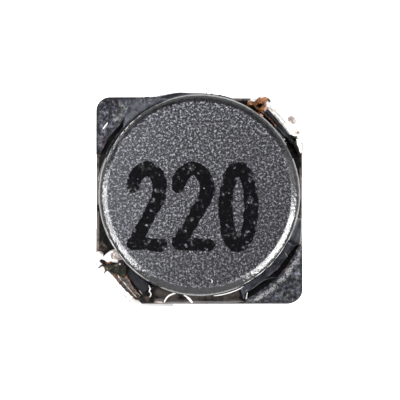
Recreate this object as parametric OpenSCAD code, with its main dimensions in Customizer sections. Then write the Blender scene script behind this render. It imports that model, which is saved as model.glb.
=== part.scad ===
// Shielded surface-mount power inductor.
// A wound ferrite drum is glued into a square ferrite ring, and two sheet-metal terminals sit on opposite corners.
// Millimetres. Origin: centre of the footprint on the solder plane. +Z points away from the board.
// The finish terminal is at the +X +Y corner and the start terminal at the -X -Y corner.

/* [Body] */
// Side of the square shield ring
body_w = 5.7; // [5.5:0.1:6.5]
// Height of the whole part above the solder plane
body_h = 2.8; // [2.6:0.1:3.4]

/* [Shield ring] */
// Leg of the two corner chamfers that carry the terminals
chamfer_leg = 1.25; // [1.15:0.05:1.35]
// Outside radius of the two closed corners
corner_r = 0.38; // [0.2:0.02:0.6]
// Thickness of the ring wall at the middle of a side
wall_t = 0.35; // [0.25:0.05:0.4]
// Half width of the open window in each side, at the level of the top flange
window_half = 1.27; // [1:0.01:1.35]
// How far the corner posts stop below the top of the drum
post_drop = 0.2; // [0.05:0.05:0.35]
// Flat broken edge along the outer tops of the posts
edge_break = 0.06; // [0.02:0.01:0.1]
// Slope worn into the inner tops of the posts
pocket_break = 0.1; // [0.04:0.01:0.14]

/* [Drum core] */
// Thickness of the top flange
flange_t = 0.55; // [0.4:0.05:0.7]
// How far the top flange stays inside the side of the ring when it is centred
flange_inset = 0.065; // [0.04:0.005:0.15]
// Width of the sloped band round the top face
bevel_w = 0.12; // [0.08:0.01:0.2]
// Drop of the sloped band
bevel_drop = 0.07; // [0.03:0.01:0.1]
// Radius of the rolled outer edge of the top flange
rim_r = 0.12; // [0.04:0.005:0.12]
// Radius of the post inside the coil
post_r = 1.5; // [1.2:0.05:1.55]
// Thickness of the lower flange
foot_t = 0.5; // [0.4:0.05:0.6]
// How far off centre the drum is glued
drum_shift = 0.14; // [0:0.01:0.15]

/* [Winding] */
// Outside diameter of the enamelled wire
wire_d = 0.22; // [0.16:0.01:0.24]
// Flat faces round the wire
wire_sides = 8; // [6:1:10]
// Straight pieces in one turn
turn_steps = 24; // [18:1:28]

/* [Terminals] */
// Thickness of the terminal sheet
sheet_t = 0.12; // [0.1:0.01:0.15]
// Length of a solder pad along each side of the part
pad_leg = 2.2; // [1.8:0.1:2.4]
// Width of the pad legs across the side
pad_w = 0.7; // [0.5:0.05:0.9]
// How far the pads stand out beyond the ring
pad_proud = 0.08; // [0.08:0.01:0.15]
// Half width of the upright tab
tab_half = 0.5; // [0.4:0.02:0.54]
// Width of the outer prong of the wire fork
prong_w = 0.1; // [0.08:0.01:0.12]

/* [Clearances] */
// Magnetic gap between the ring wall and the underside of the top flange
core_gap = 0.2; // [0.15:0.01:0.25]
// Gap between the bore and the lower flange when it is centred
bore_gap = 0.2; // [0.17:0.01:0.3]
// Gap from the top flange to the inside of the posts when it is centred
pocket_gap = 0.24; // [0.22:0.005:0.3]
// Adhesive film between the terminals and the ring
bond_t = 0.03; // [0.02:0.005:0.05]
// Gap from wire to core and between neighbouring layers
wire_gap = 0.015; // [0.01:0.005:0.03]
// Height of the lower flange above the underside of the ring
foot_lift = 0.05; // [0.02:0.01:0.1]

/* [Adhesive and solder] */
// How far a dab of adhesive spreads from the side of the top flange
dab_reach = 0.25; // [0.15:0.01:0.28]
// How far a dab climbs the side of the top flange
dab_climb = 0.28; // [0.1:0.01:0.35]
// Radius of the drop that fell beside the south dab
drop_r = 0.29; // [0.15:0.01:0.3]
// Radius of the solder drop on a wire fork
solder_r = 0.24; // [0.18:0.01:0.25]
// Radius of the solder that spilled onto the ring beside a fork
spill_r = 0.11; // [0.08:0.01:0.12]

/* [Hidden] */
$fn = 96;

past = 1;                                   // overshoot of a cutter
half_w = body_w / 2;
diagonal = 45;                              // the terminals sit on this diagonal
ring_z = sheet_t + bond_t;                  // underside of the ring
flange_r = half_w - flange_inset;
flange_z = body_h - flange_t;               // underside of the top flange
wall_z = flange_z - core_gap;               // top of the ring wall
post_z = body_h - post_drop;                // top of the corner posts
bore_r = half_w - wall_t;
pocket_r = flange_r + pocket_gap;
foot_r = bore_r - bore_gap;
foot_z = ring_z + foot_lift;
face_d = (body_w - chamfer_leg) / sqrt(2);  // centre to chamfer face

wire_r = wire_d / 2;
lead_drop = 0.12;                           // air between a lead and the top flange
lead_z = flange_z - wire_r - lead_drop;     // leads cross the ring wall at this height
lead_u = 0.55;                              // place of each lead along the chamfer face
lead_bend = 0.3;                            // leads turn outward in this distance
lead_stub = 0.06;                           // wire left standing past the fork
notch_side = 0.06;                          // air beside a lead in the notch
notch_under = 0.08;                         // air below a lead in the notch
notch_half = lead_u + wire_r + notch_side;
lead_open = half_w / sqrt(2);               // beside a lead the ring stays low as far as the window
notch_z = lead_z - wire_r - notch_under;    // floor of the notch that lets a lead out

bend_r = sheet_t;                           // outer radius at the root of a tab
tab_in = face_d + bond_t;
tab_out = tab_in + sheet_t;
fork_air = 0.015;                           // air between the wire and its fork
fork_rise = 0.08;                           // fork prongs end this far above the wire's middle
ear_h = 0.53;                               // height of the ear that carries the outer prong
slot_air = 0.04;                            // air each side of the tab root in the pad
fork_half = wire_r + fork_air;
tab_z = lead_z + fork_rise;
ear_z = tab_z - ear_h;
ear_end = lead_u + fork_half + prong_w;
lead_end = tab_out + lead_stub;
pad_out = half_w + pad_proud;

coil_top = flange_z - wire_r - wire_gap;
coil_low = foot_z + foot_t + wire_r + wire_gap;
layer_step = wire_d + wire_gap;
cord_fit = cos(180 / turn_steps);           // straight pieces dip towards the axis by this much
inner_r = (post_r + wire_r + wire_gap) / cord_fit;
outer_r = inner_r + layer_step / cord_fit;
cross_sweep = 45;                           // turn taken to climb from one layer to the next

// ---------- small helpers ----------

// Arc points from angle a to b round a centre
function arc(c, r, a, b, n) = [for (i = [0:n]) c + r * [cos(a + (b - a) * i / n), sin(a + (b - a) * i / n)]];
function unit(v) = v / norm(v);
function mix(a, b, t) = a + (b - a) * t;
function ease(t) = t * t * (3 - 2 * t);

// A place given as distance along the finish diagonal and across it, in row coordinates
function finish_xy(d, u) = [d - u, d + u] / sqrt(2);
// The same place at the start corner, which mirrors the finish corner
function start_xy(d, u) = [-d - u, -d + u] / sqrt(2);

module start_side() {
  mirror([1, 1, 0])
    children();
}

module on_drum_axis() {
  translate([0, drum_shift, 0])
    children();
}

// ---------- drum core ----------

bevel_in = flange_r - rim_r - bevel_w;      // inner edge of the sloped band
rim_top = body_h - bevel_drop;
rim_turn = 90 - atan2(bevel_drop, bevel_w);
foot_break = 0.05;                          // broken edges of the lower flange
root_r = 0.06;                              // fillets between post and flanges

module drum_profile() {
  polygon(concat(
    [[0, foot_z], [foot_r - foot_break, foot_z], [foot_r, foot_z + foot_break]],
    [[foot_r, foot_z + foot_t - foot_break], [foot_r - foot_break, foot_z + foot_t]],
    arc([post_r + root_r, foot_z + foot_t + root_r], root_r, 270, 180, 4),
    arc([post_r + root_r, flange_z - root_r], root_r, 180, 90, 4),
    [[flange_r, flange_z]],
    arc([flange_r - rim_r, rim_top - rim_r], rim_r, 0, rim_turn, 6),
    [[bevel_in, body_h], [0, body_h]]
  ));
}

module drum_core() {
  color([0.2, 0.2, 0.22])
    on_drum_axis()
      rotate_extrude()
        drum_profile();
}

// ---------- shield ring ----------

module ring_outline() {
  intersection() {
    square(body_w, center = true);
    rotate(diagonal)
      square([2 * face_d, 2 * body_w], center = true);
    union() {
      square([body_w + past, body_w - 2 * corner_r], center = true);
      square([body_w - 2 * corner_r, body_w + past], center = true);
      for (s = [-1, 1])
        translate(s * [1, -1] * (half_w - corner_r))
          circle(corner_r);
      for (s = [-1, 1])
        translate(s * [1, 1] * (half_w - corner_r / 2))
          square(corner_r, center = true);
    }
  }
}

// Cutter that breaks the top outer edges of the two posts
module post_edge_cutter() {
  run = half_w - corner_r;
  for (turn = [90, 270])
    rotate(turn)
      translate([run, run, post_z]) {
        rotate_extrude(angle = 90)
          polygon([
            [corner_r - edge_break, 0], [corner_r + edge_break, -2 * edge_break],
            [corner_r + 3 * edge_break, 0], [corner_r, edge_break]
          ]);
        for (side = [0, 1])
          mirror([side, -side, 0])
            translate([corner_r, 0, 0])
              rotate([90, 0, 0])
                linear_extrude(run + corner_r)
                  polygon([
                    [-edge_break, 0], [edge_break, -2 * edge_break],
                    [3 * edge_break, 0], [0, edge_break]
                  ]);
      }
}

bore_break = 0.05;                          // broken edge at the mouth of the bore

module shield_ring() {
  color([0.17, 0.17, 0.18])
    difference() {
      translate([0, 0, ring_z])
        linear_extrude(post_z - ring_z)
          ring_outline();
      translate([0, 0, ring_z - past])
        cylinder(r = bore_r, h = body_h + 2 * past);
      translate([0, 0, wall_z])
        cylinder(r = pocket_r, h = past + post_z);
      translate([0, 0, post_z - pocket_break])
        cylinder(r1 = pocket_r, r2 = pocket_r + 2 * pocket_break, h = 2 * pocket_break);
      for (turn = [0, 90])
        rotate(turn)
          translate([-body_w, -window_half, wall_z])
            cube([2 * body_w, 2 * window_half, past + post_z]);
      rotate(diagonal)
        translate([-body_w, -notch_half, notch_z])
          cube([2 * body_w, 2 * notch_half, past + post_z]);
      rotate(diagonal)
        translate([-body_w, 0, wall_z])
          cube([2 * body_w, lead_open, past + post_z]);
      post_edge_cutter();
      translate([0, 0, ring_z])
        cylinder(r1 = bore_r + bore_break, r2 = bore_r - bore_break, h = 2 * bore_break);
    }
}

// ---------- winding: one wire from lead end to lead end ----------

function drum_xy(r, a) = [r * cos(a), drum_shift + r * sin(a)];
function from_drum(p) = p - [0, drum_shift];
function bearing(v) = atan2(v[1], v[0]);

start_knee = start_xy(face_d - lead_bend, lead_u);
start_tip = start_xy(lead_end, lead_u);
finish_knee = finish_xy(face_d - lead_bend, lead_u);
finish_tip = finish_xy(lead_end, lead_u);

// Angles at which the leads touch the coil tangentially
start_angle = bearing(from_drum(start_knee)) + acos(inner_r / norm(from_drum(start_knee)));
finish_angle = bearing(from_drum(finish_knee)) - acos(outer_r / norm(from_drum(finish_knee)));

// Inner layer runs down, outer layer runs up with one turn less, and the last turn has to end at finish_angle
most_turns = (coil_top - coil_low) / layer_step;
phase = finish_angle - start_angle - cross_sweep;
inner_turns = (floor((720 * most_turns - phase) / 360) * 360 + phase) / 720;
coil_pitch = (coil_top - coil_low) / inner_turns;
outer_turns = inner_turns - 1;
inner_sweep = 360 * inner_turns;
outer_sweep = 360 * outer_turns;
inner_steps = ceil(inner_turns * turn_steps);
outer_steps = ceil(outer_turns * turn_steps);

function lift(p, z) = [p[0], p[1], z];

// A lead in plan: straight off the coil, then an eased turn outward at the knee
function corner_pts(a, k, b, n) = [for (i = [0:n])
  let (t = i / n) mix(mix(a, k, t), mix(k, b, t), t)];

function lead_pts(touch, touch_z, knee, tip) =
  let (
    before = knee + unit(touch - knee) * lead_bend,
    after = knee + unit(tip - knee) * lead_bend,
    rise = 4,
    run = [for (i = [1:rise]) lift(mix(touch, before, i / (rise + 1)), mix(touch_z, lead_z, ease(i / rise)))],
    turn = [for (p = corner_pts(before, knee, after, 6)) lift(p, lead_z)]
  )
  concat(run, turn, [lift(tip, lead_z)]);

function reversed(v) = [for (i = [len(v) - 1:-1:0]) v[i]];

inner_pts = [for (i = [0:inner_steps])
  let (t = i / inner_steps)
  lift(drum_xy(inner_r, start_angle + inner_sweep * t), coil_top - coil_pitch * inner_turns * t)];
cross_pts = [for (i = [1:3])
  let (t = i / 4)
  lift(drum_xy(mix(inner_r, outer_r, ease(t)), start_angle + inner_sweep + cross_sweep * t), coil_low)];
outer_pts = [for (i = [0:outer_steps])
  let (t = i / outer_steps)
  lift(drum_xy(outer_r, start_angle + inner_sweep + cross_sweep + outer_sweep * t),
    coil_low + coil_pitch * outer_turns * t)];
start_pts = reversed(lead_pts(drum_xy(inner_r, start_angle), coil_top, start_knee, start_tip));
finish_pts = lead_pts(drum_xy(outer_r, finish_angle), coil_low + coil_pitch * outer_turns, finish_knee, finish_tip);
wire_path = concat(start_pts, inner_pts, cross_pts, outer_pts, finish_pts);

// Sweep of a round section along a path that is nowhere vertical
module sweep(path, r, sides) {
  n = len(path);
  way = [for (i = [0:n - 1]) unit(path[min(i + 1, n - 1)] - path[max(i - 1, 0)])];
  points = [for (i = [0:n - 1])
    let (across = unit(cross(way[i], [0, 0, 1])), up = cross(across, way[i]))
    for (k = [0:sides - 1])
      path[i] + r * (cos(360 * k / sides) * across + sin(360 * k / sides) * up)];
  walls = [for (i = [0:n - 2], k = [0:sides - 1])
    let (a = i * sides + k, b = i * sides + (k + 1) % sides)
    for (face = [[a, b, b + sides], [a, b + sides, a + sides]])
      face];
  near = [for (k = [1:sides - 2]) [0, k + 1, k]];
  far = [for (k = [1:sides - 2]) (n - 1) * sides * [1, 1, 1] + [0, k, k + 1]];
  polyhedron(points = points, faces = concat(walls, near, far));
}

module winding() {
  color([0.72, 0.34, 0.12])
    sweep(wire_path, wire_r, wire_sides);
}

// ---------- terminals ----------

// Everything below is drawn at the finish corner: x runs out along the diagonal, y across it
module finish_frame() {
  rotate(diagonal)
    children();
}

module tab_profile() {
  difference() {
    union() {
      translate([-tab_half, 0])
        square([2 * tab_half, tab_z]);
      translate([0, ear_z])
        square([ear_end, tab_z - ear_z]);
    }
    translate([lead_u - fork_half, lead_z])
      square([2 * fork_half, past]);
    translate([lead_u, lead_z])
      circle(fork_half);
  }
}

module tab_blank() {
  difference() {
    translate([tab_in, 0, 0])
      rotate([90, 0, 90])
        linear_extrude(sheet_t)
          tab_profile();
    difference() {
      translate([tab_in - past, -past, -past])
        cube([past + bend_r, 2 * past, past + bend_r]);
      translate([tab_in + bend_r, -2 * past, bend_r])
        rotate([-90, 0, 0])
          cylinder(r = bend_r, h = 4 * past);
    }
  }
}

module pad_plate() {
  inner = pad_out - pad_leg;
  nib = 0.1;
  difference() {
    linear_extrude(sheet_t)
      polygon([
        [pad_out - nib, pad_out], [inner, pad_out], [inner, pad_out - pad_w],
        [pad_out - pad_w, inner], [pad_out, inner], [pad_out, pad_out - nib]
      ]);
    finish_frame()
      translate([0, -tab_half - slot_air, -past])
        cube([tab_in + bend_r, 2 * (tab_half + slot_air), 2 * past]);
  }
}

module terminal() {
  union() {
    pad_plate();
    finish_frame()
      tab_blank();
  }
}

module terminal_finish() {
  color([0.8, 0.8, 0.78])
    terminal();
}

module terminal_start() {
  color([0.8, 0.8, 0.78])
    start_side()
      terminal();
}

// Adhesive under the pad and behind the tab, with a bead squeezed out along the foot of the notch
module terminal_bond() {
  inner = pad_out - pad_leg;
  bead_r = 0.07;
  inset = 0.06;
  short = 0.02;
  union() {
    translate([0, 0, sheet_t])
      linear_extrude(bond_t)
        difference() {
          polygon([
            [half_w, half_w], [inner + inset, half_w], [inner + inset, pad_out - pad_w],
            [pad_out - pad_w, inner + inset], [half_w, inner + inset]
          ]);
          circle(bore_r + inset);
          rotate(diagonal)
            translate([face_d, -body_w / 2])
              square([past, body_w]);
          rotate(diagonal)
            translate([0, -tab_half - slot_air])
              square([body_w, 2 * (tab_half + slot_air)]);
        }
    finish_frame()
      translate([face_d, -tab_half, ring_z + bond_t])
        cube([bond_t, 2 * tab_half, notch_z - ring_z - bond_t]);
    finish_frame()
      intersection() {
        translate([tab_in - bead_r, tab_half, notch_z])
          rotate([90, 0, 0])
            cylinder(r = bead_r, h = tab_half + notch_half - short);
        translate([face_d - past, -past, notch_z])
          cube([past + bond_t, 3 * past, past]);
      }
  }
}

module terminal_bond_finish() {
  color([0.42, 0.22, 0.08])
    terminal_bond();
}

module terminal_bond_start() {
  color([0.42, 0.22, 0.08])
    start_side()
      terminal_bond();
}

// ---------- solder on the wire forks ----------

drop_in = 0.06;                             // the drop's middle lies this far inside the outer face of the tab
drop_low = 0.05;                            // and this far below the middle of the wire
spill_in = 0.07;                            // spilled solder passes behind the face of the tab by this much
spill_side = 0.03;                          // and this far from the end of the ear
spill_rise = 0.04;                          // height of its middle above the ring wall
spill_back = 1.4;                           // it ends in a lump this many radii further back
spill_out = 0.7;                            // and this many radii further out along the chamfer

// Solder as it ran: a drop round the fork and the wire, then past the ear and back over the ring wall
module solder_run(r) {
  lumps = [
    [tab_out - drop_in, lead_u, lead_z - drop_low, r],
    [tab_out - drop_in - spill_in, ear_end + spill_side, wall_z + spill_rise, spill_r],
    [tab_in - spill_back * spill_r, ear_end + spill_side + spill_out * spill_r, wall_z + spill_rise, spill_r]
  ];
  for (lump = lumps)
    translate([lump[0], lump[1], lump[2]])
      rotate(180)
        sphere(lump[3]);
}

// The same without the ring wall under it, the sheet and the wire
module solder(r) {
  difference() {
    solder_run(r);
    translate([0, -body_w, wall_z - past])
      cube([tab_in, 2 * body_w, past]);
    translate([0, -body_w, wall_z - past])
      cube([tab_out, body_w + ear_end, 2 * past]);
    translate([face_d, lead_u, lead_z])
      rotate([0, 90, 0])
        cylinder(r = wire_r, h = past);
  }
}

module solder_finish() {
  color([0.8, 0.45, 0.2])
    finish_frame()
      solder(solder_r);
}

module solder_start() {
  color([0.85, 0.85, 0.83])
    start_side()
      finish_frame()
        solder(solder_r);
}

// ---------- adhesive between drum and ring ----------

// Half section of a dab about the drum axis: under the flange, up its side, then down to the ring wall
module dab_profile(reach, climb, sag) {
  under = 0.16;                             // how far it creeps in under the flange
  polygon(concat(
    [[flange_r - under, wall_z], [flange_r + reach, wall_z]],
    [for (i = [1:5])
      let (t = i / 5)
      [flange_r + reach * (1 - t), wall_z + (core_gap + climb) * (t - sag * sin(180 * t))]],
    [[flange_r, flange_z], [flange_r - under, flange_z]]
  ));
}

// A dab is placed by its first angle and its sweep. Reach and climb are shares of the values for all dabs
module dab(from, sweep, reach, climb, sag) {
  on_drum_axis()
    rotate(from)
      rotate_extrude(angle = sweep)
        dab_profile(reach * dab_reach, climb * dab_climb, sag);
}

module inside_ring(reach) {
  intersection() {
    children();
    translate([-half_w, -half_w, wall_z])
      cube([body_w, body_w + reach, body_h]);
  }
}

bulge = min(0.06, pad_proud);               // the north dab bulges past the ring, but less than the pads do
tall = 1.2;                                 // shares of the reach and the climb of all dabs
full = 1;
lean = 0.85;
hollow = 0.1;                               // a dab with this sag is hollow
rounded = -0.1;                             // and one that sags by less than nothing bulges

module adhesive_north() {
  color([0.12, 0.12, 0.14])
    intersection() {
      inside_ring(bulge)
        union() {
          dab(92, 23, full, tall, rounded);
          dab(114, 17, lean, full, hollow);
        }
      cylinder(r = pocket_r, h = body_h);
    }
}

module adhesive_south() {
  color([0.12, 0.11, 0.1])
    inside_ring(0)
      union() {
        dab(250, 42, full, full, hollow);
        translate([-2 * drop_r, -half_w, wall_z])
          intersection() {
            sphere(drop_r);
            translate([-drop_r, 0, 0])
              cube(2 * drop_r);
          }
      }
}

module adhesive_southeast() {
  color([0.12, 0.12, 0.14])
    intersection() {
      inside_ring(0)
        union() {
          dab(293, 16, lean, full, hollow);
          dab(308, 31, full, full, hollow);
        }
      cylinder(r = pocket_r, h = body_h);
    }
}

drum_core();
shield_ring();
winding();
terminal_start();
terminal_finish();
terminal_bond_start();
terminal_bond_finish();
solder_start();
solder_finish();
adhesive_north();
adhesive_south();
adhesive_southeast();
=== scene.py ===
"""Looks of the shielded inductor: finishes, print, adhesive, solder, dust, floor, light and camera."""

import math

import bmesh
import bpy
import numpy as np
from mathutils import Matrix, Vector, noise


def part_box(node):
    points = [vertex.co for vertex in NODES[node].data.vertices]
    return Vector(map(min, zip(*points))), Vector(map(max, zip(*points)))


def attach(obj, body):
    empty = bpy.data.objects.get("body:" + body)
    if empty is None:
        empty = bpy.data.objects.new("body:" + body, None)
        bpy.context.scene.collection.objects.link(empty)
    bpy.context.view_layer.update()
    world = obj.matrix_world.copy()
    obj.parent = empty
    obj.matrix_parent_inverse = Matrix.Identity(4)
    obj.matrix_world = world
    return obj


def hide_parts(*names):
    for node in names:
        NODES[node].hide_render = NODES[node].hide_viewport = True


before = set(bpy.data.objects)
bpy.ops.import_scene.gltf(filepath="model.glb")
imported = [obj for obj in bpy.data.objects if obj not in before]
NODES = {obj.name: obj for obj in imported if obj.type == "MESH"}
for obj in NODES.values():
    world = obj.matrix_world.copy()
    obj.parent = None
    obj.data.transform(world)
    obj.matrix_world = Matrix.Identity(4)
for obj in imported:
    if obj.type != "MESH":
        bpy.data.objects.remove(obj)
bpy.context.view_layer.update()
MM = 0.001


def mm_box(node):
    """Lowest and highest corner of a CAD node, in millimetres."""
    low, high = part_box(node)
    return low / MM, high / MM


# Heights and radii in millimetres: the drum's top and foot, the ring's half width and post tops, the lowest
# adhesive and the pads' upper face.
DRUM_LOW, DRUM_HIGH = mm_box("drum_core")
RING_HIGH = mm_box("shield_ring")[1]
AXIS_X, AXIS_Y = (DRUM_LOW.x + DRUM_HIGH.x) / 2, (DRUM_LOW.y + DRUM_HIGH.y) / 2
FLANGE_R = (DRUM_HIGH.x - DRUM_LOW.x) / 2
TOP_Z = DRUM_HIGH.z
FOOT_Z = DRUM_LOW.z
HALF_W = RING_HIGH.x
POST_Z = RING_HIGH.z
WALL_Z = mm_box("adhesive_south")[0].z
FLANGE_T = 0.55
FLANGE_Z = TOP_Z - FLANGE_T
PAD_Z = 0.12
DIAGONAL = 0.7071


# ---------- shader helpers ----------


class Shader:
    """A material under construction: nodes are made by kind, and sockets take a value or another socket."""

    def __init__(self, name):
        self.material = bpy.data.materials.new(name)
        self.material.use_nodes = True
        self.tree = self.material.node_tree
        self.surface = self.tree.nodes["Principled BSDF"]

    def put(self, socket, value):
        if isinstance(value, bpy.types.NodeSocket):
            self.tree.links.new(value, socket)
        elif value is not None:
            socket.default_value = value

    def node(self, kind, sockets=None, **settings):
        made = self.tree.nodes.new(kind)
        for key, value in settings.items():
            setattr(made, key, value)
        for key, value in (sockets or {}).items():
            self.put(made.inputs[key], value)
        return made

    def vector(self, operation, a, b=None):
        made = self.node("ShaderNodeVectorMath", {0: a}, operation=operation)
        self.put(made.inputs[1], b)
        return made

    def place(self):
        """Object coordinates in millimetres."""
        spot = self.node("ShaderNodeTexCoord").outputs["Object"]
        return self.vector("MULTIPLY", spot, (1 / MM,) * 3).outputs[0]

    def noise(self, where, scale, detail=2.0, rough=0.5, warp=0.0):
        made = self.node(
            "ShaderNodeTexNoise",
            {"Vector": where, "Scale": scale, "Detail": detail, "Roughness": rough, "Distortion": warp},
        )
        return made.outputs["Fac"]

    def ramp(self, factor, *stops):
        """Colour ramp: each stop is (place, colour or grey)."""
        made = self.node("ShaderNodeValToRGB", {"Fac": factor})
        band = made.color_ramp
        while len(band.elements) < len(stops):
            band.elements.new(0.5)
        for element, (place, shade) in zip(band.elements, stops):
            element.position = place
            rgb = shade if isinstance(shade, tuple) else (shade,) * 3
            element.color = (*rgb, 1)
        return made.outputs["Color"]

    def mix(self, factor, a, b, blend="MIX"):
        made = self.node("ShaderNodeMix", data_type="RGBA", blend_type=blend)
        self.put(made.inputs[0], factor)
        for socket, value in ((made.inputs[6], a), (made.inputs[7], b)):
            self.put(socket, (*value, 1) if isinstance(value, tuple) else value)
        return made.outputs[2]

    def math(self, operation, a, b=None):
        made = self.node("ShaderNodeMath", {0: a}, operation=operation)
        self.put(made.inputs[1], b)
        return made.outputs[0]

    def times(self, a, b):
        return self.math("MULTIPLY", a, b)

    def rise(self, value, low, high):
        """0 below low, 1 above high and smooth between. Falls instead when low is above high."""
        sockets = {"Value": value, "From Min": low, "From Max": high}
        return self.node("ShaderNodeMapRange", sockets, interpolation_type="SMOOTHSTEP").outputs["Result"]

    def axes(self, vector):
        return self.node("ShaderNodeSeparateXYZ", {0: vector}).outputs

    def away(self, where, x, y):
        """Distance in millimetres from the upright line through x, y."""
        moved = self.vector("ADD", where, (-x, -y, 0)).outputs[0]
        flat = self.vector("MULTIPLY", moved, (1, 1, 0)).outputs[0]
        return self.vector("LENGTH", flat).outputs["Value"]

    def bump(self, height, distance, strength):
        """Relief from a height socket: distance is in metres, strength from 0 to 1."""
        sockets = {"Height": height, "Distance": distance, "Strength": strength}
        return self.node("ShaderNodeBump", sockets).outputs["Normal"]

    def finish(self, **sockets):
        """Sets the surface's sockets, named as in Blender with _ for a space."""
        for key, value in sockets.items():
            if isinstance(value, tuple):
                value = (*value, 1)
            self.put(self.surface.inputs[key.replace("_", " ")], value)
        return self.material


# ---------- materials ----------


def ferrite_grain(s, where):
    """Grey and black grains, a few bright, under a painted light gradient and a painted highlight ring. Gives
    shade, relief, fine noise and distance from the axis.
    """
    grain = s.noise(where, 15.0, 1.5, 0.6)
    fine = s.noise(where, 34.0, 1.0, 0.5)
    cloud = s.noise(where, 1.1, 3.0, 0.6)
    mixed = s.math("ADD", s.times(grain, 0.56), s.times(fine, 0.44))
    shade = s.ramp(
        mixed,
        (0.435, (0.001, 0.001, 0.002)),
        (0.474, (0.006, 0.006, 0.009)),
        (0.504, (0.04, 0.04, 0.05)),
        (0.54, (0.098, 0.098, 0.119)),
        (0.585, (0.2, 0.2, 0.235)),
        (0.65, (0.52, 0.52, 0.57)),
    )
    spots = s.axes(where)
    # Less contrast towards the left, painted light that is brighter towards the upper left, and a painted
    # highlight ring beside the sloped band.
    calm = s.times(s.rise(spots["X"], -0.3, -2.3), 0.22)
    shade = s.mix(calm, shade, (0.082, 0.086, 0.102))
    painted_light_slant = s.math("ADD", s.times(spots["X"], -0.07), s.times(spots["Y"], 0.06))
    tone = s.math("ADD", s.math("ADD", painted_light_slant, s.times(cloud, 0.3)), 0.51)
    lip = s.math("ADD", s.away(where, AXIS_X, AXIS_Y), s.times(cloud, 0.03))
    # Painted highlight: a paler ring on the top, just inside the sloped band.
    pale = s.times(s.rise(lip, 2.5, 2.55), s.rise(lip, 2.62, 2.57))
    tone = s.math("ADD", tone, s.times(pale, 0.3))
    return s.mix(1.0, shade, tone, "MULTIPLY"), mixed, fine, lip


def ground_ferrite():
    """The ground top of the drum."""
    s = Shader("ground_ferrite")
    shade, mixed, fine, _ = ferrite_grain(s, s.place())
    return s.finish(
        Base_Color=shade,
        Roughness=s.math("ADD", s.times(fine, 0.25), 0.35),
        Normal=s.bump(mixed, 0.000016, 0.6),
        IOR=1.4,
    )


def rolled_ferrite():
    """The drum's sloped band and rolled edge: smooth and dark, worn grey along the inner side, where the
    ground's painted light gradient and painted highlight ring show.
    """
    s = Shader("rolled_ferrite")
    where = s.place()
    shade, mixed, fine, lip = ferrite_grain(s, where)
    grain = s.noise(where, 11.0, 2.0, 0.6)
    scuff = s.noise(where, 3.1, 3.0, 0.65)
    dark = s.ramp(grain, (0.35, (0.003, 0.003, 0.004)), (0.65, (0.018, 0.018, 0.022)))
    worn = s.rise(s.math("ADD", lip, s.times(scuff, -0.07)), 2.59, 2.535)
    rough = s.math("ADD", s.times(s.rise(scuff, 0.45, 0.7), 0.14), s.times(grain, 0.1))
    return s.finish(
        Base_Color=s.mix(worn, dark, shade),
        Roughness=s.math("ADD", s.math("ADD", rough, 0.06), s.times(worn, 0.14)),
        Normal=s.bump(grain, 0.000016, 0.6),
        IOR=2.0,
    )


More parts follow.
